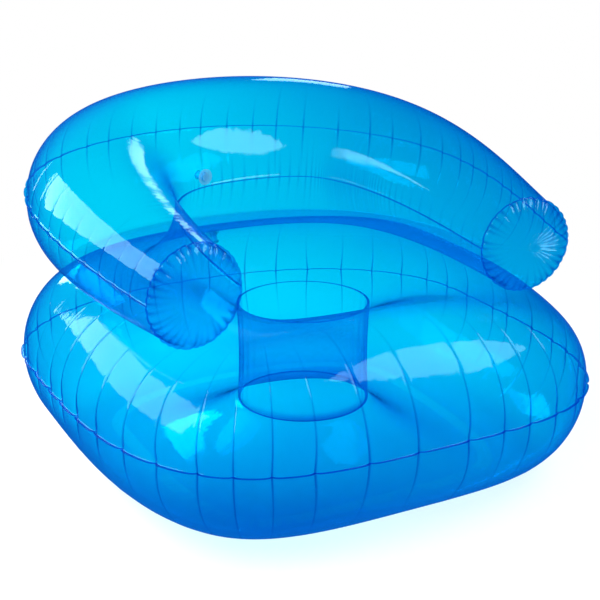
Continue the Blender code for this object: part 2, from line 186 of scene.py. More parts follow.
def less(tree, value, share, most):
    """Dims a value by a share of the most that it can lose."""
    return times(tree, value, maths(tree, "SUBTRACT", 1.0, times(tree, share, most)))


def distance_along(tree, spot, direction):
    """Returns how far a place lies along a direction."""
    return node(tree, "VectorMath", {0: spot, 1: direction}, output=1, operation="DOT_PRODUCT")


def mixed(tree, share, first, second):
    """Adds a node that mixes two colours."""
    return node(tree, "Mix", {0: share, 6: first, 7: second}, output=2, data_type="RGBA")


def ramp(tree, value, low, high):
    """Adds a smooth step from 0 at low to 1 at high."""
    return node(tree, "MapRange", {0: value, 1: low, 2: high}, interpolation_type="SMOOTHSTEP")


print("node helpers:", ", ".join(helper.__name__ for helper in (node, maths, times, less, mixed, ramp)))

# %% [markdown]
# The background is plain white to the camera, also through the film. Mirror images show it only where the paper
# backdrop stands behind the chair, and a dark room elsewhere, because in the photograph the chair's outline is
# dark although it stands before white. Behind other film they are brighter, because there film mirrors film.

# %% Room
ROOM_LIGHT = 0.20        # what the room adds to the floor's light
ROOM_MIRRORED = (0.0, 0.048, 0.38, 1)    # how the dark room looks in the film
BACKDROP_MIRRORED = (0.02, 0.19, 0.80, 1)    # how the backdrop looks in it
FILM_MIRRORED = (0.0, 0.46, 1.0, 1)      # how film looks in film behind it
BACKDROP_SPAN = (0.7, 0.9)    # how far towards +Y directions point at its edge and well inside it

world = bpy.data.worlds.new("studio")
bpy.context.scene.world = world
tree = new_nodes(world)
where = node(tree, "TexCoord", output=0)
ahead = node(tree, "SeparateXYZ", {0: where}, output=1)
path = tree.nodes.new("ShaderNodeLightPath").outputs
backdrop = ramp(tree, ahead, *BACKDROP_SPAN)
mirrored = mixed(tree, backdrop, ROOM_MIRRORED, BACKDROP_MIRRORED)
behind_film = maths(tree, "GREATER_THAN", path["Transparent Depth"], 0.5)
mirrored = mixed(tree, behind_film, mirrored, FILM_MIRRORED)
shown = mixed(tree, path["Is Glossy Ray"], (ROOM_LIGHT,) * 3 + (1,), mirrored)
white_seen = maths(tree, "MAXIMUM", path["Is Camera Ray"], path["Is Transmission Ray"])
shown = mixed(tree, white_seen, shown, (1, 1, 1, 1))
lit = node(tree, "Background", {"Color": shown, "Strength": 1.0})
node(tree, "OutputWorld", {"Surface": lit})
print("room nodes", len(tree.nodes))

# %% [markdown]
# The floor is white paper. A plain diffuse floor would render a little grey and show its edge, so part of its
# brightness is given off towards the eye only, and far from the chair all of it. The rest is lit paper, which
# keeps the chair's pale blue shadow. The photograph was cut out, so its paper shows only through the film, and
# there it gets a painted fall-off and painted shadow: bright at the rear left, dimmer to the right and at both
# sides, and dimmest under the chair's front. Transparent Depth tells which rays came through film. In the film's
# mirror the paper shows painted reflection colours. A span gives the two distances, in metres, between which a
# change happens.

# %% Floor
FLOOR_REACH = 9.0
PAPER = 0.36             # how much light the paper sends back
GLOW = 0.72              # what it gives off towards the eye near the chair
PAPER_SPAN = (0.8, 1.6)  # from lit paper to plain white
FALL = (0.37, -0.130, 0.0)   # painted fall-off: how fast the paper dims towards the right and the rear, for each metre
MIDDLE_SEEN = 0.90       # its brightness in the middle
LEAST_SEEN = 0.42
FOOT_DIM = 0.80          # how much the painted shadow dims it under the chair's front
FOOT_AHEAD = (0.35, 1.0, 0.0)    # the direction in which that shadow lifts
FOOT_SPAN = (0.42, -0.33)
FOOT_REACH = (1.3, 0.65)         # its span by distance from the chair's middle
SIDE_DIM = 0.5           # how much a painted shadow dims it to both sides of the chair
SIDE_AHEAD = (0.888, -0.460, 0.0)
SIDE_MIDDLE = 0.08       # where the middle between them lies in that direction
SIDE_SPAN = (0.28, 0.66)
SIDE_REACH = (1.4, 1.0)
FRONT_AHEAD = (-0.46, -0.888, 0.0)   # the direction of the chair's nearest side
FRONT_SPAN = (0.12, 0.50)
FRONT_SHADE = (0.0, 0.03, 0.17, 1)   # painted shadow: the lit paper's colour there
BLUE_KEPT = 0.45         # the power by which blue dims less than the rest
MIRRORED_NEAR = (0.01, 0.20, 0.69, 1)    # painted reflection: how the paper looks mirrored in the film, near the chair
MIRRORED_FAR = (0.01, 0.13, 0.60, 1)     # and further off
MIRRORED_SPAN = (0.40, 0.75)

bm = bmesh.new()
bmesh.ops.create_grid(bm, x_segments=8, y_segments=8, size=FLOOR_REACH)
floor_mesh = bpy.data.meshes.new("studio_floor")
bm.to_mesh(floor_mesh)
bm.free()
floor = add_object("studio_floor", floor_mesh)

paper = bpy.data.materials.new("white_paper")
tree = new_nodes(paper)
spot = node(tree, "TexCoord", output=3)
away = node(tree, "VectorMath", {0: spot}, output=1, operation="LENGTH")
far = ramp(tree, away, *PAPER_SPAN)
path = tree.nodes.new("ShaderNodeLightPath").outputs
mirror = path["Is Glossy Ray"]
eye = maths(tree, "MAXIMUM", path["Is Camera Ray"], path["Is Transmission Ray"])
through = maths(tree, "GREATER_THAN", path["Transparent Depth"], 0.5)
# Seen through the film, the paper gets a painted fall-off, and painted shadows under the chair's front, to both
# sides and on the lit paper at the near side.
fall = maths(tree, "SUBTRACT", MIDDLE_SEEN, distance_along(tree, spot, FALL))
fall = node(tree, "Clamp", {0: fall, 1: LEAST_SEEN, 2: 1.0})
foot_shadow = ramp(tree, distance_along(tree, spot, FOOT_AHEAD), *FOOT_SPAN)
fall = less(tree, fall, times(tree, foot_shadow, ramp(tree, away, *FOOT_REACH)), FOOT_DIM)
side = maths(tree, "SUBTRACT", distance_along(tree, spot, SIDE_AHEAD), SIDE_MIDDLE)
side = ramp(tree, maths(tree, "ABSOLUTE", side), *SIDE_SPAN)
fall = less(tree, fall, times(tree, side, ramp(tree, away, *SIDE_REACH)), SIDE_DIM)
dimmed = node(tree, "CombineColor", {0: fall, 1: fall, 2: maths(tree, "POWER", fall, BLUE_KEPT)})
shade = mixed(tree, through, (1, 1, 1, 1), dimmed)
# The paper shows painted reflection colours to mirror rays instead of its own white.
seen_in_film = mixed(tree, ramp(tree, away, *MIRRORED_SPAN), MIRRORED_NEAR, MIRRORED_FAR)
seen_in_film = mixed(tree, through, seen_in_film, FILM_MIRRORED)
front_shadow = times(tree, through, ramp(tree, distance_along(tree, spot, FRONT_AHEAD), *FRONT_SPAN))
lit_paper = node(tree, "BsdfDiffuse", {"Color": mixed(tree, front_shadow, (PAPER,) * 3 + (1,), FRONT_SHADE)})
glow = node(tree, "Emission", {"Color": shade, "Strength": times(tree, eye, GLOW)})
close = node(tree, "AddShader", {0: lit_paper, 1: glow})
plain = node(tree, "Emission", {"Color": shade, "Strength": eye})
both = node(tree, "MixShader", {0: times(tree, far, eye), 1: close, 2: plain})
image = node(tree, "Emission", {"Color": seen_in_film, "Strength": 1.0})
both = node(tree, "MixShader", {0: mirror, 1: both, 2: image})
node(tree, "OutputMaterial", {"Surface": both})
floor_mesh.materials.append(paper)
print("floor reaches", FLOOR_REACH, "m each way")

# %% [markdown]
# Next come the chair's driving sizes, in metres. The imported solids were made from the same ones, so the fine
# sheets fall on the same surfaces.

# %% Driving sizes
FILM = 0.0004            # thickness of the film
GAP = 0.0003             # clearance between pieces that touch
SHEET_LIFT = FILM + GAP / 2
RIM_MARGIN = 0.006       # widths of the welded margins
WELL_MARGIN = 0.005
TUBE_MARGIN = 0.005
END_MARGIN = 0.004
SEAT_HALF_WIDTH = 0.535
SEAT_FRONT = 0.714
SEAT_BACK = 0.3875
SEAM_HEIGHT = 0.1918
CROWN_HEIGHT = 0.3779
CROWN_INSET = 0.1861
CROWN_RISE = CROWN_HEIGHT - SEAM_HEIGHT
FLOOR_BAND = 0.030
FLOOR_INSET = SEAM_HEIGHT - FLOOR_BAND / 2
PUCKER_DEPTH = 0.006
WELL_RADIUS = 0.1393
WELL_SETBACK = 0.1945
WELL_TOP = 0.3084
WELL_BOTTOM = 0.0947
WELL_WAIST = 0.004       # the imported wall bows 11 mm, but the photograph's sides are nearly straight
FRONT_POWER = 3.5
BACK_POWER = 2.18
ARM_SPREAD = 0.3544
ARM_REACH = 0.4694
ARM_FLARE = 0.0601
ARM_HANDLE = 0.3947
BACK_HANDLE = 0.4075
BACK_SET = 0.2358
ARM_RADIUS = 0.094
BACK_RADIUS = 0.1785
ARM_PRESS = 0.0171
BACK_PRESS = 0.0147
ARM_DENT = 0.026
DENT_REACH = 0.16
DENT_CLEARANCE = 0.003
CAP_DOME = 0.018
END_FLARE = 0.0015
SWELL_POWER = 1.185
INNER_SEAM_DROP = math.radians(-7.3)
OUTER_SEAM_RISE = math.radians(10.75)
BACK_EDGE = BACK_SET + (BACK_RADIUS + TUBE_MARGIN) * math.cos(OUTER_SEAM_RISE)
WIDEST_Y = (SEAT_FRONT + RIM_MARGIN - BACK_EDGE) / 2
WELL_Y = WIDEST_Y - WELL_SETBACK
DENSE = 4000             # points on the lines that others are read from
print("widest line at y", round(WIDEST_Y, 4), "well at y", round(WELL_Y, 4))

# %% [markdown]
# Every sheet is cut flat, so a plain grid is its natural start. Its columns run across the weld and its rows along
# it, and a formula carries each point to its place on the blown-up shape. The columns crowd together where a
# crease needs them. Each sheet also carries two painted values, weld and crease shade, which its finish reads. The
# crease shade is painted shade that darkens the film along its creases and folds.


# %% Sheet helpers
def make_piece(name, bm, material, body, nodes):
    """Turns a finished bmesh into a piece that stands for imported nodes."""
    mesh = bpy.data.meshes.new(name)
    bm.to_mesh(mesh)
    bm.free()
    mesh.shade_smooth()
    mesh.materials.append(material)
    item = add_object(name, mesh)
    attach(item, body)
    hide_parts(*nodes)
    return item


def film_grid(columns, rows, place, closed=True, turned=False):
    """Returns a grid's bmesh, closed into a ring and turned inside out if asked for.

    place takes line numbers of the grid and returns points, weld and painted crease shade there.
    """
    bm = bmesh.new()
    bmesh.ops.create_grid(bm, x_segments=columns - 1, y_segments=rows - 1, size=0.5)
    flat = np.array([vert.co[:2] for vert in bm.verts]) + 0.5
    column = np.rint(flat[:, 0] * (columns - 1)).astype(int)
    row = np.rint(flat[:, 1] * (rows - 1)).astype(int)
    points, weld, crease = place(column, row)
    weld_layer = bm.verts.layers.float.new("weld")
    crease_shade_layer = bm.verts.layers.float.new("crease")
    for vert, point, welded, crease_shaded in zip(bm.verts, points, weld, crease):
        vert.co = point
        vert[weld_layer] = welded
        vert[crease_shade_layer] = crease_shaded
    if closed:
        bmesh.ops.remove_doubles(bm, verts=bm.verts, dist=1e-6)
    if turned:
        bmesh.ops.reverse_faces(bm, faces=bm.faces)
    return bm


def smooth(value, low, high):
    """Returns a smooth step from 0 at low to 1 at high."""
    share = np.clip((value - low) / (high - low), 0, 1)
    return share * share * (3 - 2 * share)


print("a smooth step is half way up at", smooth(0.5, 0, 1))

# %% [markdown]
# Where flat film is welded round a curve, its spare length gathers into puckers. Close to, a pucker is a tuck:
# the weld jogs inwards in a narrow V, two sharp ridges run away from it, and the film between two puckers swells
# into a low lobe. All of that is one formula of two distances: x along the weld, and r away from it. Columns
# crowd at x = 0, so the ridges come out crisp.

# %% Puckers
CELL_STEPS = 7           # columns from a rim pucker to half way to the next
TUBE_CELL_STEPS = 9      # the same along the tube
CELL_CROWD = 2.2         # how strongly they crowd towards the pucker
TUCK_HALF = 0.0026       # from the middle of a tuck to its ridges
TUCK_EDGE = 0.0014       # width of a ridge
RIDGE_SHARE = 0.5        # how high the ridges rise, as a share of the pucker's height
GROOVE_SHARE = 0.6       # how deep the groove between them is
LOBE_SHARE = 0.3         # how far the lobes' edges are drawn down
CREASE_WIDTH = 0.0013    # half width of the dark line of painted shade along a tuck
CREASE_FADE = 1.3        # the power by which it fades sooner than the pucker
LOBE_WIDTH = 0.014       # how far a pucker draws the film down on each side
JOG_WIDTH = 0.006        # how wide the weld's jog is
JOG_REACH = 0.03         # and how far up the film it goes
WELD_CALM = 0.008        # within this distance of a weld creases flatten out


def crowded_columns(places, closed, count=CELL_STEPS):
    """Returns share, nearest pucker and share of its cell, for columns that crowd at places of a weld."""
    places = np.asarray(places)
    ends = np.append(places, places[0] + 1) if closed else places
    steps = (np.arange(count) / count) ** CELL_CROWD
    cell = np.concatenate([steps, [1.0], -steps[:0:-1]])
    after = np.arange(len(cell)) > count
    number = np.arange(len(ends) - 1)[:, None]
    share = np.where(after, ends[1:, None], ends[:-1, None]) + np.diff(ends)[:, None] / 2 * cell
    which = np.append((number + after) % len(places), 0 if closed else len(places) - 1)
    return np.append(share, ends[-1]), which, np.append(np.tile(cell, len(number)), 0.0)


def tuck(x, r, reach, height):
    """Returns how far a pucker lifts the film, and how dark the painted shade along its creases is."""
    fade = np.exp(-r / reach)
    ridge = np.exp(-((np.abs(x) - TUCK_HALF) / TUCK_EDGE) ** 2)
    groove = np.exp(-(x / TUCK_HALF) ** 2)
    lobe = np.exp(-np.abs(x) / LOBE_WIDTH)
    lift = height * (RIDGE_SHARE * fade * ridge - GROOVE_SHARE * fade * groove - LOBE_SHARE * fade ** 3 * lobe)
    return lift, fade ** CREASE_FADE * np.exp(-(x / CREASE_WIDTH) ** 2)


print("columns round a rim with two puckers", len(crowded_columns([0.0, 0.5], True)[0]))

# %% [markdown]
# The finish of the film comes before its pieces. Glass shaders bend light, which thin film doesn't, and cast
# black shadows. A Transparent shader only tints the light, so layers darken each other and the shadow is blue. A
# Glossy shader on top mirrors the lamps, little face on and nearly all at a glancing angle. Layer Weight's Facing
# gives that angle on both sides of the film alike, which its Fresnel output doesn't. A Solidify modifier then
# gives each sheet its thickness inwards.

# %% Clear blue film
FACE_TINT = (0.15, 0.917, 0.992, 1)      # what one face of the film lets through
THICK_TINT = (0.09, 0.893, 0.987, 1)     # the same where the film is a little thicker
WELD_TINT = (0.05, 0.72, 0.94, 1)        # in a welded margin
CREASE_SHADE_TINT = (0.02, 0.42, 0.80, 1)      # painted shade along a sharp crease
EDGE_TINT = (0.03, 0.73, 0.93, 1)        # where the eye looks along the film
MIRRORED = (0.68, 0.76, 0.86, 1)         # colour of what it mirrors
FACING_SHINE = 0.022                     # what one face mirrors, seen face on
EDGE_SHINE = 0.90                        # the same at a glancing angle
WELD_DULL = 0.8                          # how much less of it the heat-pressed weld mirrors
FILM_ROUGHNESS = 0.04
EDGE_POWER = 5.0                         # how steeply both rise towards the edge


def angle_steps(tree, bump):
    """Returns the share of light that a face mirrors and how much it darkens, by the angle it is seen at."""
    away = node(tree, "LayerWeight", {"Blend": 0.5, "Normal": bump}, output=1)
    steep = maths(tree, "POWER", away, EDGE_POWER)
    return node(tree, "MapRange", {0: steep, 3: FACING_SHINE, 4: EDGE_SHINE}), steep


def film_material(name):
    """Returns the clear blue film."""
    material = bpy.data.materials.new(name)
    tree = new_nodes(material)
    spot = node(tree, "TexCoord", output=3)
    cloud = node(tree, "TexNoise", {"Vector": spot, "Scale": 9.0, "Detail": 2.0})
    grain = node(tree, "TexNoise", {"Vector": spot, "Scale": 60.0, "Detail": 3.0})
    bump = node(tree, "Bump", {"Strength": 0.25, "Distance": 0.0012, "Height": grain})
    weld = node(tree, "Attribute", output=2, attribute_name="weld")
    crease = node(tree, "Attribute", output=2, attribute_name="crease")
    tint = mixed(tree, cloud, FACE_TINT, THICK_TINT)
    # Painted shade: the film is darkened along creases and folds by the value each sheet carries.
    tint = mixed(tree, crease, tint, CREASE_SHADE_TINT)
    tint = mixed(tree, weld, tint, WELD_TINT)
    share, steep = angle_steps(tree, bump)
    share = less(tree, share, weld, WELD_DULL)
    tint = mixed(tree, steep, tint, EDGE_TINT)
    clear = node(tree, "BsdfTransparent", {"Color": tint})
    shine = node(tree, "BsdfGlossy", {"Color": MIRRORED, "Roughness": FILM_ROUGHNESS, "Normal": bump})
    both = node(tree, "MixShader", {0: share, 1: clear, 2: shine})
    node(tree, "OutputMaterial", {"Surface": both})
    return material


film = film_material("clear_blue_film")
print("film nodes", len(film.node_tree.nodes))


def film_piece(name, bm, nodes):
    """Makes a piece of film on the chair from a bmesh of its outer surface."""
    item = make_piece(name, bm, film, "chair", nodes)
    wall = item.modifiers.new("film", "SOLIDIFY")
    wall.thickness = FILM
    wall.offset = -1
    print(name, "has", len(item.data.polygons), "faces")


# %% [markdown]
# The seat's outline in plan is a rounded square in front of its widest line and nearly an ellipse behind it.
# One formula, a superellipse with two powers, draws both. It is read at even steps of its length.


# %% Seat outline
def unit(rows):
    """Returns rows scaled to length 1."""
    return rows / np.linalg.norm(rows, axis=1)[:, None]


def looked_up(share, shares, values):
    """Returns rows of values at shares between those they are known at."""
    return np.stack([np.interp(share, shares, column) for column in values.T], axis=1)


def evenly(line):
    """Returns even shares of a line's length, its points there and the length."""
    run = np.concatenate([[0], np.cumsum(np.linalg.norm(np.diff(line, axis=0), axis=1))])
    even = np.linspace(0, run[-1], DENSE + 1)
    return even / run[-1], looked_up(even, run, line), float(run[-1])


def rim_line():
    """Returns shares of the rim's weld, its points in plan, the directions into the seat and its length."""
    turn = np.linspace(-math.pi / 2, 1.5 * math.pi, DENSE + 1)
    across, along = np.cos(turn), np.sin(turn)
    power = np.where(along < 0, FRONT_POWER, BACK_POWER)
    reach = np.where(along < 0, SEAT_FRONT, SEAT_BACK)
    x = SEAT_HALF_WIDTH * np.sign(across) * np.abs(across) ** (2 / power)
    y = WIDEST_Y + reach * np.sign(along) * np.abs(along) ** (2 / power)
    shares, line, length = evenly(np.stack([x, y], axis=1))
    tangent = unit(np.roll(line[:-1], -1, axis=0) - np.roll(line[:-1], 1, axis=0))
    tangent = np.vstack([tangent, tangent[:1]])
    return shares, line, np.stack([-tangent[:, 1], tangent[:, 0]], axis=1), length


RIM_SHARES, RIM_LINE, RIM_INWARDS, RIM_LENGTH = rim_line()


def rim(share):
    """Returns the rim's points in plan and the directions into the seat at shares of its length."""
    share = np.mod(share, 1)
    return looked_up(share, RIM_SHARES, RIM_LINE), unit(looked_up(share, RIM_SHARES, RIM_INWARDS))


print("rim is", round(RIM_LENGTH, 3), "m round")

# %% [markdown]
# The seat has 44 puckers round its rim. Those that the photograph shows clearly stand where it shows them, as
# shares of the rim from the front's middle round by the right. The rest are nearly even, with a small seeded
# disorder. Each has its own reach, height and lean.

# %% Rim puckers
SEEN_PUCKER_SHARES = (0.018, 0.040, 0.0575, 0.078, 0.101, 0.760, 0.783, 0.806, 0.831, 0.855, 0.878, 0.8955,
                      0.9135, 0.934, 0.962, 0.989)
HIDDEN_PUCKERS = 28
CREASE_SEEN = 0.85       # how much of the painted crease shade shows
chance = np.random.default_rng(7)
hidden = np.linspace(0.101, 0.760, HIDDEN_PUCKERS + 2)[1:-1]
hidden = hidden + chance.uniform(-0.004, 0.004, HIDDEN_PUCKERS)
rim_puckers = np.sort(np.concatenate([SEEN_PUCKER_SHARES, hidden]))
pucker_count = len(rim_puckers)
seen = np.isin(rim_puckers, SEEN_PUCKER_SHARES)
top_reach = np.where(seen, chance.uniform(0.110, 0.230, pucker_count),
                     chance.uniform(0.045, 0.100, pucker_count))
low_reach = np.where(seen, chance.uniform(0.080, 0.160, pucker_count),
                     chance.uniform(0.040, 0.090, pucker_count))
pucker_height = chance.uniform(0.0020, 0.0034, pucker_count) * np.where(seen, 1.0, 0.6)
pucker_lean = chance.uniform(-0.12, 0.12, pucker_count)
rim_share, rim_which, rim_cell = crowded_columns(rim_puckers, True)
print(pucker_count, "puckers,", len(rim_share), "columns")

# %% [markdown]
# Both seat sheets start at the rim's margin, rise or fall in a quarter round, and run in to the well's ring. The
# outline isn't round, so they can't be spun: each row of the grid is the rim drawn in by its own amount.

# %% Seat sheets
RISE_CROWD = 1.25        # how strongly rows crowd towards the weld
LEAN_REACH = 0.2         # how far up a pucker leans
DISH_RUN = 0.33          # the run that gives the dish its bend


def dent(x, y):
    """Returns how much of the dent under an arm's end is left at places in plan."""
    away = np.hypot(np.abs(x) - ARM_SPREAD, y - WIDEST_Y + ARM_REACH)
    return np.exp(-(away / DENT_REACH) ** 2)


def seat_sheet(upper, rise_steps, dish_steps):
    """Returns a seat sheet's bmesh: the top sheet, or the bottom one."""
    side = 1 if upper else -1
    lift = SEAM_HEIGHT + side * SHEET_LIFT
    crown = CROWN_HEIGHT if upper else 0.0
    inset = CROWN_INSET if upper else FLOOR_INSET
    band = 0.0 if upper else FLOOR_BAND
    ring = (WELL_TOP if upper else WELL_BOTTOM) + side * SHEET_LIFT
    reach = top_reach if upper else low_reach
    angles = np.linspace(0, 1, rise_steps) ** RISE_CROWD * math.pi / 2
    dishes = np.linspace(0, 1, dish_steps)[0 if band else 1:]
    kind = np.concatenate([np.zeros(2), np.ones(rise_steps), np.full(len(dishes), 2), [3]]).astype(int)
    value = np.concatenate([[-1.0, -0.5], angles, dishes, [1.0]])
    drop = abs(crown - ring)
    bend = 2 * DISH_RUN * drop / (DISH_RUN ** 2 + drop ** 2)

    def place(column, row):
        share, which, cell = rim_share[column], rim_which[column], rim_cell[column]
        sort, amount = kind[row], value[row]
        angle = np.where(sort == 1, amount, np.where(sort >= 2, math.pi / 2, 0))
        away = angle * inset
        lean = pucker_lean[which] * away * (1 - np.abs(cell)) * np.exp(-away / LEAN_REACH)
        point, inwards = rim(share + lean / RIM_LENGTH)
        x = (np.mod(share - rim_puckers[which] + 0.5, 1) - 0.5) * RIM_LENGTH
        raised, fold_shade = tuck(x, away, reach[which], pucker_height[which])
        jog = PUCKER_DEPTH * np.exp(-np.abs(x) / JOG_WIDTH) * np.exp(-away / JOG_REACH)
        raised = np.where(sort == 0, 0, raised * smooth(away, 0, WELD_CALM))
        margin = np.where(sort == 0, amount * RIM_MARGIN, 0)
        drawn_in = margin + jog + inset * (1 - np.cos(angle)) - raised * np.cos(angle)
        plan = point + inwards * drawn_in[:, None]
        height = lift + (crown - lift) * np.sin(angle) + side * raised * np.sin(angle)
        start = point + inwards * (inset + band)
        from_well = unit(start - (0, WELL_Y))
        edge = from_well * np.where(sort == 3, WELL_RADIUS - WELL_MARGIN, WELL_RADIUS)[:, None] + (0, WELL_Y)
        across = np.where(sort == 2, amount, 1.0)
        fall = (1 - np.sqrt(1 - (bend * across) ** 2)) / (1 - math.sqrt(1 - bend ** 2))
        inside = sort >= 2
        plan = np.where(inside[:, None], start + (edge - start) * across[:, None], plan)
        height = np.where(inside, crown + (ring - crown) * fall, height)
        if upper:
            share_up = np.clip((height - SEAM_HEIGHT) / CROWN_RISE, 0, 1)
            kept = (sort == 1) | ((sort == 2) & (amount < 1))
            height = height - ARM_DENT * dent(plan[:, 0], plan[:, 1]) * share_up * kept
        weld = np.where((sort == 0) | (sort == 3), 1.0, 0.0)
        crease = np.where(sort == 1, fold_shade * CREASE_SEEN, 0)
        return np.column_stack([plan, height]), weld, crease

    return film_grid(len(rim_share), len(kind), place, turned=not upper)


film_piece("seat_top_film", seat_sheet(True, 34, 30), ["seat_top_sheet"])
film_piece("seat_bottom_film", seat_sheet(False, 26, 18), ["seat_bottom_sheet"])

# %% [markdown]
# The well's wall is a short sleeve of film, welded to both seat sheets. The seat's air bows it towards the well's
# axis, and the pull of the sheets leaves upright flutes in it. It could be spun from a profile, but flutes differ
# from place to place, so it is a grid too.

# %% Well wall
WALL_COLUMNS = 481
WALL_ROWS = 41
FLUTES = 38
FLUTE_DEPTH = 0.00072
WELL_FRONT_SHADE = 0.8       # how dark the painted shade is at the wall's lower front edge
BAND_SEEN = 0.16         # how dark the soft band of painted shade across the wall is
BAND_DOWN_SHARE = 0.55   # where it lies, as a share of the wall's height
BAND_WIDTH_SHARE = 0.13
flute_phase = chance.uniform(0, math.tau, 3)


def well_place(column, row):
    """Places a point of the well's wall."""
    turn = column / (WALL_COLUMNS - 1) * math.tau
    down = np.clip((row - 1) / (WALL_ROWS - 3), 0, 1)
    waist = np.sin(math.pi * down)
    flute = np.sin(FLUTES * turn + flute_phase[0] + 1.5 * np.sin(5 * turn + flute_phase[1]))
    slow = np.sin(3 * turn + flute_phase[2])
    radius = WELL_RADIUS - WELL_WAIST * waist - FLUTE_DEPTH * (flute + 0.5 * slow) * np.sqrt(waist)
    edge = (row == 0) | (row == WALL_ROWS - 1)
    radius = np.where(edge, WELL_RADIUS - WELL_MARGIN, radius)
    high, low = WELL_TOP - SHEET_LIFT, WELL_BOTTOM + SHEET_LIFT
    height = high + (low - high) * down
    points = np.column_stack([np.cos(turn) * radius, WELL_Y + np.sin(turn) * radius, height])
    # Painted shade darkens the wall's lower front edge and a soft band across it, in the crease shade value.
    low_front_shade = WELL_FRONT_SHADE * (1 - np.sin(turn)) / 2 * smooth(down, 0.90, 1.0)
    band = BAND_SEEN * np.exp(-((down - BAND_DOWN_SHARE) / BAND_WIDTH_SHARE) ** 2)
    return points, edge.astype(float), np.where(edge, 0, np.maximum(low_front_shade, band))


film_piece("seat_well_film", film_grid(WALL_COLUMNS, WALL_ROWS, well_place), ["seat_well_wall"])

# %% [markdown]
# The arm-and-back tube follows one smooth curve in plan and swells towards the back. Blender could sweep a circle
# along a curve object, but the tube is two sheets with a weld on each side, so its points are worked out the same
# way as the seat's: how far along, and at which angle round it.


# %% Tube line
def tube_line():
    """Returns the tube's line, radius and swell at dense, even shares, from the left arm to the right one."""
    share = np.linspace(0, 1, DENSE // 2 + 1)[:, None]
    knots = np.array([[ARM_SPREAD, -ARM_REACH], [ARM_SPREAD + ARM_FLARE, ARM_HANDLE - ARM_REACH],
                      [BACK_HANDLE, BACK_SET], [0, BACK_SET]]) + (0, WIDEST_Y)
    weights = ((1 - share) ** 3, 3 * share * (1 - share) ** 2, 3 * share ** 2 * (1 - share), share ** 3)
    half = sum(weight * knot for weight, knot in zip(weights, knots))
    shares, plan, length = evenly(np.vstack([half * (-1, 1), half[-2::-1]]))
    along = np.linspace(0, 2, DENSE + 1)
    swell = np.sin(np.minimum(along, 2 - along) * math.pi / 2) ** SWELL_POWER
    radius = ARM_RADIUS + (BACK_RADIUS - ARM_RADIUS) * swell
    press = ARM_PRESS + (BACK_PRESS - ARM_PRESS) * swell
    line = np.column_stack([plan, CROWN_HEIGHT + radius - press])
    return shares, line, unit(np.gradient(line, axis=0)), radius, swell, length


TUBE_SHARES, TUBE_LINE, TUBE_AHEAD, TUBE_RADII, TUBE_SWELL, TUBE_LENGTH = tube_line()


def read(share, values):
    """Returns values of the tube's line at shares of its length."""
    if values.ndim == 1:
        return np.interp(share, TUBE_SHARES, values)
    return looked_up(share, TUBE_SHARES, values)


def tube_axes(share):
    """Returns the directions ahead, outwards and up across the tube."""
    ahead = unit(read(share, TUBE_AHEAD))
    outwards = unit(np.stack([-ahead[:, 1], ahead[:, 0], np.zeros(len(ahead))], axis=1))
    return ahead, outwards, np.cross(ahead, outwards)


print("tube is", round(TUBE_LENGTH, 3), "m along its middle")

# %% [markdown]
# The outer weld of the tube gathers every 48 mm or so into a pucker. The inner weld is squeezed, most of all at
# the two elbows, where it throws many short wrinkles close together. Columns crowd at the outer puckers and are
# even at the inner weld.

# %% Tube puckers
OUTER_GAP = 0.048        # between two puckers of the outer weld, along the tube's middle
outer_count = round(TUBE_LENGTH / OUTER_GAP)
outer_places = np.linspace(0, 1, outer_count + 1)
outer_places[1:-1] += chance.uniform(-0.12, 0.12, outer_count - 1) / outer_count
outer_reach = chance.uniform(0.025, 0.080, outer_count + 1)
outer_height = chance.uniform(0.0012, 0.0024, outer_count + 1)
tube_share, tube_which, _ = crowded_columns(outer_places, False, TUBE_CELL_STEPS)

WRINKLES = 108           # of the inner weld
WRINKLE_WIDTH = 0.0016
WRINKLE_CALM = 0.004     # within this distance of the weld they flatten out
WRINKLE_SEEN = 0.5       # how much painted crease shade they show
INNER_SHRINK = 0.6       # how much shorter the back's inner weld is than its middle
ELBOW_SHARE = 0.27       # where along the tube the first elbow is
ELBOW_WIDTH = 0.07


def elbow(share):
    """Returns how near shares of the tube's length are to an elbow, from 0 to 1."""
    return np.exp(-((np.minimum(share, 1 - share) - ELBOW_SHARE) / ELBOW_WIDTH) ** 2)


def spaced(count, plain, extra):
    """Returns rising shares from 0 to 1 that are closer together at the elbows."""
    even = np.linspace(0, 1, DENSE)
    density = np.cumsum(plain + extra * elbow(even))
    density = (density - density[0]) / (density[-1] - density[0])
    return np.interp(np.linspace(0, 1, count), density, even)


tube_even = spaced(len(tube_share), 0.9, 1.2)
wrinkle_places = spaced(WRINKLES, 0.2, 1.0) + chance.uniform(-0.0005, 0.0005, WRINKLES)
at_elbow = elbow(wrinkle_places)
wrinkle_reach = chance.uniform(0.012, 0.030, WRINKLES) + 0.075 * at_elbow * chance.uniform(0.2, 1, WRINKLES)
wrinkle_height = (0.0005 + 0.0009 * at_elbow) * chance.uniform(0.5, 1, WRINKLES)

RIPPLE_LENGTH = 0.0135   # from one ripple on an arm to the next
RIPPLE_HEIGHT = 0.00045
RIPPLE_ANGLE = math.radians(68)      # where on an arm they are, up from the inner weld
RIPPLE_SPREAD = math.radians(26)
RIPPLE_REACH = 0.40      # how far from the arm's end they go
ripple_phase = chance.uniform(0, math.tau, 3)


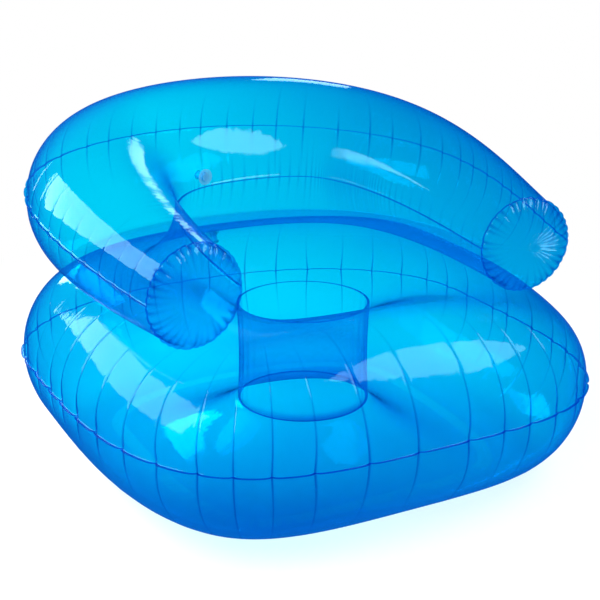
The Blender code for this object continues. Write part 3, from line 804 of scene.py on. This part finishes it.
def ripple(from_end, angle):
    """Returns the height of the ripples across an arm's inner upper side."""
    turn = math.tau * from_end / RIPPLE_LENGTH
    wander = 1.3 * np.sin(turn / 7.3 + ripple_phase[0]) + 2.0 * np.sin(2 * angle + ripple_phase[1])
    uneven = 0.65 + 0.35 * np.sin(turn / 4.1 + ripple_phase[2])
    around = np.exp(-((angle - RIPPLE_ANGLE) / RIPPLE_SPREAD) ** 2)
    along = smooth(from_end, 0.02, 0.08) * (1 - smooth(from_end, 0.6 * RIPPLE_REACH, RIPPLE_REACH))
    return RIPPLE_HEIGHT * np.sin(turn + wander) * uneven * around * along


print(outer_count, "cells and", len(tube_share), "columns along the tube")

# %% [markdown]
# The two arm ends are closed by round discs. Their welds are small circles, so the puckers are about 17 mm apart,
# and they ruffle the disc's rim and the first few centimetres of the tube alike.

# %% End ruffles
RUFFLES = 34
RUFFLE_REACH = 0.022     # how far along the tube a ruffle fades
RUFFLE_DEPTH = 0.0022
RUFFLE_WIDTH = 0.0035
RUFFLE_SEEN = 0.6        # how much painted crease shade it shows
RUFFLE_SEEN_REACH = 0.02
NOTCH_DEPTH = 0.0022     # how far the weld is drawn in at a ruffle
NOTCH_REACH = 0.006
ruffle_turn = (np.arange(RUFFLES) + chance.uniform(-0.25, 0.25, RUFFLES)) / RUFFLES * math.tau
ruffle_height = chance.uniform(0.6, 1.3, RUFFLES)


def ruffle(angle):
    """Returns how strongly ruffles draw in the film at angles round an arm's end, from 0 to 1.3."""
    away = np.abs(np.mod(angle[:, None] - ruffle_turn[None, :] + math.pi, math.tau) - math.pi)
    return np.max(np.exp(-(away * ARM_RADIUS / RUFFLE_WIDTH) ** 1.5) * ruffle_height[None, :], axis=1)


print("ruffles", RUFFLES)

# %% [markdown]
# Now the tube's two sheets are laid round its line. They share the places of all creases, so these meet at the
# welds. The lower sheet lies flat on the seat, which a plain swept tube wouldn't. Each sheet has a narrow margin
# on both sides, and flares into one at both ends, where the caps are welded on.

# %% Tube sheets
TUBE_WELD_SHARE = 0.45   # the tube's welds are paler than the seat's
TUBE_CREASE_SEEN = 0.6   # and so is the painted shade along its creases
TUBE_JOG = 0.003         # how far each pucker draws its outer weld in
MARGIN_ROWS = 2
ROW_CROWD = 0.06         # how much closer rows lie near the welds
CROWD_SPAN = (0.15, 0.75)    # from the inner weld's columns to the outer's


def nearest(values, places):
    """Returns the number of the nearest of some sorted places for each value."""
    high = np.clip(np.searchsorted(places, values), 1, len(places) - 1)
    return np.where(values - places[high - 1] < places[high] - values, high - 1, high)


def tube_sheet(upper, steps):
    """Returns a tube sheet's bmesh: the upper sheet, or the lower one."""
    end_flare = np.array([END_MARGIN, END_MARGIN / 2])
    columns = len(tube_share) + 2 * MARGIN_ROWS
    rows = steps + 2 * MARGIN_ROWS

    def place(column, row):
        number = np.clip(column - MARGIN_ROWS, 0, len(tube_share) - 1)
        left_end, right_end = column < MARGIN_ROWS, column >= columns - MARGIN_ROWS
        flare = np.zeros(len(column))
        flare[left_end] = end_flare[column[left_end]]
        flare[right_end] = end_flare[columns - 1 - column[right_end]]
        shift = np.where(left_end, -END_FLARE, np.where(right_end, END_FLARE, 0)) * flare / END_MARGIN
        step = np.clip((row - MARGIN_ROWS) / (steps - 1), 0, 1)
        bent = step - ROW_CROWD * np.sin(math.tau * step) / math.tau
        crowd = smooth(bent if upper else 1 - bent, *CROWD_SPAN)
        share = tube_even[number] * (1 - crowd) + tube_share[number] * crowd
        swell = read(share, TUBE_SWELL)
        radius = read(share, TUBE_RADII)
        ahead, outwards, upwards = tube_axes(share)
        inner = INNER_SEAM_DROP * swell
        outer = math.pi - OUTER_SEAM_RISE * swell - (0 if upper else math.tau)
        first, last = (inner, outer) if upper else (outer, inner)
        angle = first + (last - first) * bent
        from_outer = np.abs(angle - outer) * radius
        from_inner = np.abs(angle - inner) * radius

        which = tube_which[number]
        x = (share - outer_places[which]) * TUBE_LENGTH
        raised, fold_shade = tuck(x, from_outer, outer_reach[which], outer_height[which])
        raised = raised * smooth(from_outer, 0, WELD_CALM)
        jog = TUBE_JOG * np.exp(-np.abs(x) / JOG_WIDTH) * np.exp(-from_outer / JOG_REACH)
        ends = (which == 0) | (which == outer_count)
        raised, fold_shade, jog = (np.where(ends, 0, one) for one in (raised, fold_shade, jog))

        close = nearest(share, wrinkle_places)
        wrinkle_x = (share - wrinkle_places[close]) * TUBE_LENGTH * (1 - INNER_SHRINK * swell)
        wrinkle = np.exp(-from_inner / wrinkle_reach[close] - (wrinkle_x / WRINKLE_WIDTH) ** 2)
        raised = raised - wrinkle_height[close] * wrinkle * smooth(from_inner, 0, WRINKLE_CALM)
        fold_shade = np.maximum(fold_shade, WRINKLE_SEEN * wrinkle)

        from_end = np.minimum(share, 1 - share) * TUBE_LENGTH
        ruffled = ruffle(angle)
        drawn = ruffled * np.exp(-from_end / RUFFLE_REACH)
        raised = raised + ripple(from_end, angle) - RUFFLE_DEPTH * drawn * smooth(from_end, 0, END_MARGIN)
        raised = raised - NOTCH_DEPTH * ruffled * np.exp(-from_end / NOTCH_REACH)
        fold_shade = np.maximum(fold_shade, RUFFLE_SEEN * drawn * np.exp(-from_end / RUFFLE_SEEN_REACH))

        last_row = rows - 1 - MARGIN_ROWS
        margin = (np.clip(MARGIN_ROWS - row, 0, None) + np.clip(row - last_row, 0, None)) / MARGIN_ROWS
        lean = np.where(row <= MARGIN_ROWS, SHEET_LIFT, np.where(row >= last_row, -SHEET_LIFT, 0))
        reach = radius + margin * (TUBE_MARGIN - flare) + flare + raised - jog
        radial = upwards * np.sin(angle)[:, None] - outwards * np.cos(angle)[:, None]
        around = upwards * np.cos(angle)[:, None] + outwards * np.sin(angle)[:, None]
        points = read(share, TUBE_LINE) + ahead * shift[:, None] + radial * reach[:, None] + around * lean[:, None]
        if not upper:
            left = dent(points[:, 0], points[:, 1])
            seat_height = CROWN_HEIGHT + GAP + (DENT_CLEARANCE - ARM_DENT) * left
            points[:, 2] = np.maximum(points[:, 2], seat_height)
        welded = (margin > 0) | (flare > 0)
        return points, welded * TUBE_WELD_SHARE, np.where(welded, 0, TUBE_CREASE_SEEN * fold_shade)

    return film_grid(columns, rows, place, closed=False)


film_piece("back_tube_upper_film", tube_sheet(True, 60), ["back_tube_upper_sheet"])
film_piece("back_tube_lower_film", tube_sheet(False, 56), ["back_tube_lower_sheet"])

# %% [markdown]
# An end cap is a flat disc blown into a low dome. Its grid is wound round the dome's middle, and the ruffles of
# the weld run in from its rim.

# %% End caps
CAP_COLUMNS = 409
CAP_ROWS = 40
CAP_RUFFLE_REACH = 0.016     # how far in from the rim a ruffle fades
CAP_RUFFLE_SINK = 0.35       # how much of the dome's rise it takes
# how much painted crease shade the cap's ruffles show
CAP_CREASE_SEEN = 0.7


def cap_sheet(end, side):
    """Returns the bmesh of an arm's end cap at one end of the tube's line."""
    centre = TUBE_LINE[end]
    ahead, outwards, upwards = (axis[0] for axis in tube_axes(TUBE_SHARES[[end]]))
    towards = ahead * side
    base = END_FLARE + 2 * FILM + GAP

    def place(column, row):
        turn = column / (CAP_COLUMNS - 1) * math.tau
        slope = np.clip(row / (CAP_ROWS - 3), 0, 1) * math.pi / 2
        reach = ARM_RADIUS * np.sin(slope)
        from_rim = ARM_RADIUS - reach
        ruffled = ruffle(turn)
        drawn = ruffled * np.exp(-from_rim / CAP_RUFFLE_REACH)
        rise = CAP_DOME * np.cos(slope) * (1 - CAP_RUFFLE_SINK * drawn)
        beyond = np.clip(row - (CAP_ROWS - 3), 0, None) / 2 * END_MARGIN
        reach = reach + beyond - NOTCH_DEPTH * ruffled * np.exp(-from_rim / NOTCH_REACH)
        radial = -np.outer(np.cos(turn), outwards) + np.outer(np.sin(turn), upwards)
        points = centre + radial * reach[:, None] + np.outer(base + rise, towards)
        welded = beyond > 0
        return points, welded * TUBE_WELD_SHARE, np.where(welded, 0, CAP_CREASE_SEEN * drawn)

    return film_grid(CAP_COLUMNS, CAP_ROWS, place, turned=side < 0)


for name, end, side in (("left_arm_end", 0, -1), ("right_arm_end", -1, 1)):
    film_piece(name + "_film", cap_sheet(end, side), [name + "_cap"])

# %% [markdown]
# Each chamber has a push-in valve: a flange welded to the film, a stem that slides in it, a plug on a strap and
# a small check flap at the stem's inner end. The joints in the record say where its axis and its bends are.

# %% Valve sizes
FLANGE_RADIUS = 0.0175
FLANGE_THICKNESS = 0.0015
FLANGE_LIFT = 0.0012
COLLAR_RADIUS = 0.0105
COLLAR_DEPTH = 0.007
STEM_RADIUS = 0.008
STEM_BORE = 0.005
STEM_TRAVEL = 0.016
LIP_RADIUS = 0.0092
LIP_THICKNESS = 0.0015
STOP_RADIUS = 0.0098
STOP_THICKNESS = 0.0013
PLUG_RADIUS = 0.009
PLUG_THICKNESS = 0.0022
SHANK_RADIUS = 0.0044
SHANK_TIP_RADIUS = 0.003
SHANK_DEPTH = 0.0055
STRAP_REACH = 0.0115
STRAP_WIDTH = 0.005
STRAP_THICKNESS = 0.0015
FLAP_RADIUS = 0.0075
FLAP_THICKNESS = 0.0006
FLAP_REACH = 0.009
VALVE_STEPS = 64
print("valve flange is", 2000 * FLANGE_RADIUS, "mm across")

# %% [markdown]
# The valves are moulded from the same plastic as the film, but thicker and a little frosted. A Principled shader
# with some alpha suits that: it scatters light, as frost does, and still lets the film behind show.


# %% Valve plastic
FROST_DARK = (0.16, 0.62, 0.90, 1)
FROST_PALE = (0.24, 0.70, 0.95, 1)


def valve_material(name):
    """Returns the soft, slightly frosted moulded plastic of the valves."""
    material = bpy.data.materials.new(name)
    tree = new_nodes(material)
    spot = node(tree, "TexCoord", output=3)
    grain = node(tree, "TexNoise", {"Vector": spot, "Scale": 900.0, "Detail": 3.0})
    bump = node(tree, "Bump", {"Strength": 0.15, "Distance": 0.0002, "Height": grain})
    tint = mixed(tree, grain, FROST_DARK, FROST_PALE)
    plastic = node(tree, "BsdfPrincipled", {"Base Color": tint, "Roughness": 0.28, "IOR": 1.45, "Alpha": 0.42,
                                            "Normal": bump})
    node(tree, "OutputMaterial", {"Surface": plastic})
    return material


soft_plastic = valve_material("clear_blue_valve")
print("valve nodes", len(soft_plastic.node_tree.nodes))

# %% [markdown]
# Round parts could be cylinders joined by booleans, but one profile spun about the axis gives clean faces, and
# beveling its corners first rounds every edge. Each part is modelled about the valve's own axis and then moved to
# its place, so both valves share one recipe.


# %% Valve helpers
def spun(profile, ease=0.0003):
    """Returns a bmesh spun about +Z from a profile of radius and height, given top down its outer side."""
    bm = bmesh.new()
    points = [bm.verts.new((radius, 0, height)) for radius, height in profile]
    edges = [bm.edges.new(pair) for pair in zip(points, points[1:])]
    if profile[0][0] > 0:
        edges.append(bm.edges.new((points[-1], points[0])))
    corners = [vert for vert in points if vert.co.x > 0]
    bmesh.ops.bevel(bm, geom=corners, offset=ease, segments=3, profile=0.5, affect="VERTICES", material=-1)
    bmesh.ops.spin(bm, geom=bm.verts[:] + bm.edges[:], axis=(0, 0, 1), cent=(0, 0, 0), steps=VALVE_STEPS,
                   angle=math.tau, use_merge=True)
    bmesh.ops.remove_doubles(bm, verts=bm.verts, dist=1e-6)
    bmesh.ops.recalc_face_normals(bm, faces=bm.faces)
    return bm


def strip(bm, low, high):
    """Adds a soft-edged strip between two corners to a bmesh."""
    size = Vector(high) - Vector(low)
    middle = (Vector(high) + Vector(low)) / 2
    place = Matrix.Translation(middle) @ Matrix.Diagonal((*size, 1))
    corners = bmesh.ops.create_cube(bm, size=1.0, matrix=place)["verts"]
    edges = list({edge for vert in corners for edge in vert.link_edges})
    bmesh.ops.bevel(bm, geom=edges, offset=0.0002, segments=2, profile=0.5, affect="EDGES", material=-1)


def valve_piece(name, bm, place, body, node_name):
    """Puts a valve's piece, modelled about its own axis, in its place on the chair."""
    bmesh.ops.transform(bm, matrix=place, verts=bm.verts)
    make_piece(name, bm, soft_plastic, body, [node_name])


def valve_place(name):
    """Returns the matrix of a valve's own frame, read from its joints: x downhill, z out of the film."""
    outwards = Vector(joints[name + "_stem_slide"]["axis"]).normalized()
    side = -Vector(joints[name + "_plug_hinge"]["axis"]).normalized()
    downhill = side.cross(outwards)
    level = FLANGE_LIFT + FLANGE_THICKNESS + 2 * GAP + LIP_THICKNESS + STRAP_THICKNESS / 2
    bend = Vector(joints[name + "_plug_hinge"]["pos_m"])
    centre = bend + downhill * STRAP_REACH - outwards * level
    return Matrix.Translation(centre) @ Matrix((downhill, side, outwards)).transposed().to_4x4()


print("back valve at", short(valve_place("back_valve").translation))

# %% [markdown]
# The flange with its collar stays on the film. The stem has a lip outside and a stop inside, the plug swings on
# its strap, and the thin flap swings inwards. These three ride on bodies of their own, so that they can move.


# %% Valves
def make_valve(name):
    """Makes the four pieces of one valve."""
    place = valve_place(name)
    flange_top = FLANGE_LIFT + FLANGE_THICKNESS
    guide = STEM_RADIUS + GAP
    base = spun([(guide, flange_top), (FLANGE_RADIUS, flange_top), (FLANGE_RADIUS, FLANGE_LIFT),
                 (COLLAR_RADIUS, FLANGE_LIFT), (COLLAR_RADIUS, -COLLAR_DEPTH), (guide, -COLLAR_DEPTH)])
    valve_piece(name + "_flange", base, place, "chair", name + "_base")

    lip_low = flange_top + GAP
    lip_top = lip_low + LIP_THICKNESS
    stop_top = -COLLAR_DEPTH - GAP - STEM_TRAVEL
    stem_end = stop_top - STOP_THICKNESS
    stem = spun([(STEM_BORE, lip_top), (LIP_RADIUS, lip_top), (LIP_RADIUS, lip_low), (STEM_RADIUS, lip_low),
                 (STEM_RADIUS, stop_top), (STOP_RADIUS, stop_top), (STOP_RADIUS, stem_end),
                 (STEM_BORE, stem_end)])
    strip(stem, (-STRAP_REACH - STRAP_THICKNESS, -STRAP_WIDTH / 2, lip_low),
          (-STEM_RADIUS, STRAP_WIDTH / 2, lip_top))
    valve_piece(name + "_tube", stem, place, name + "_stem", name + "_stem")

    half = STRAP_THICKNESS / 2
    bend = Vector((-STRAP_REACH, 0, lip_top + GAP + half))
    plug = spun([(0, PLUG_THICKNESS - half), (PLUG_RADIUS, PLUG_THICKNESS - half), (PLUG_RADIUS, -half),
                 (SHANK_RADIUS, -half), (SHANK_TIP_RADIUS, -half - SHANK_DEPTH), (0, -half - SHANK_DEPTH)])
    bmesh.ops.translate(plug, verts=plug.verts, vec=(STRAP_REACH, 0, 0))
    strip(plug, (0, -STRAP_WIDTH / 2, -half), (STRAP_REACH - SHANK_RADIUS, STRAP_WIDTH / 2, half))
    valve_piece(name + "_stopper", plug, place @ Matrix.Translation(bend), name + "_plug", name + "_plug")

    thin = FLAP_THICKNESS / 2
    flap_bend = Vector((-FLAP_REACH, 0, stem_end - GAP - thin))
    flap = spun([(0, thin), (FLAP_RADIUS, thin), (FLAP_RADIUS, -thin), (0, -thin)], 0.0001)
    bmesh.ops.translate(flap, verts=flap.verts, vec=(FLAP_REACH, 0, 0))
    valve_piece(name + "_flap_disc", flap, place @ Matrix.Translation(flap_bend), name + "_flap",
                name + "_check_flap")


for name in ("back_valve", "seat_valve"):
    make_valve(name)
    print(name, "made")

# %% [markdown]
# The flags come last, when everything that they keep light off exists. A lamp's receiver collection lists what
# it lights. The floor and the valves are on every list.

# %% Flags
RECEIVERS = {
    "right_cap": ["right_arm_end_film"],
    "tube": ["back_tube_upper_film", "back_tube_lower_film", "left_arm_end_film", "right_arm_end_film"],
    "seat": ["seat_top_film", "seat_bottom_film", "seat_well_film"],
}
valve_names = [item.name for item in bpy.data.objects if "_valve_" in item.name and not item.hide_render]
for part, names in RECEIVERS.items():
    receivers = bpy.data.collections.new(part + "_receivers")
    for name in names + valve_names + ["studio_floor"]:
        receivers.objects.link(bpy.data.objects[name])
    for name, facts in SOFT_BOXES.items():
        if facts[-1] == part:
            bpy.data.objects[name].light_linking.receiver_collection = receivers
    print(part, "is lit by", [name for name, facts in SOFT_BOXES.items() if facts[-1] == part])

# %% [markdown]
# Light passes many faces of film, so the renderer is told to follow it through all of them.

# %% Render settings
FACES_FOLLOWED = 64
bpy.context.scene.cycles.transparent_max_bounces = FACES_FOLLOWED
bpy.context.scene.view_settings.view_transform = "Standard"
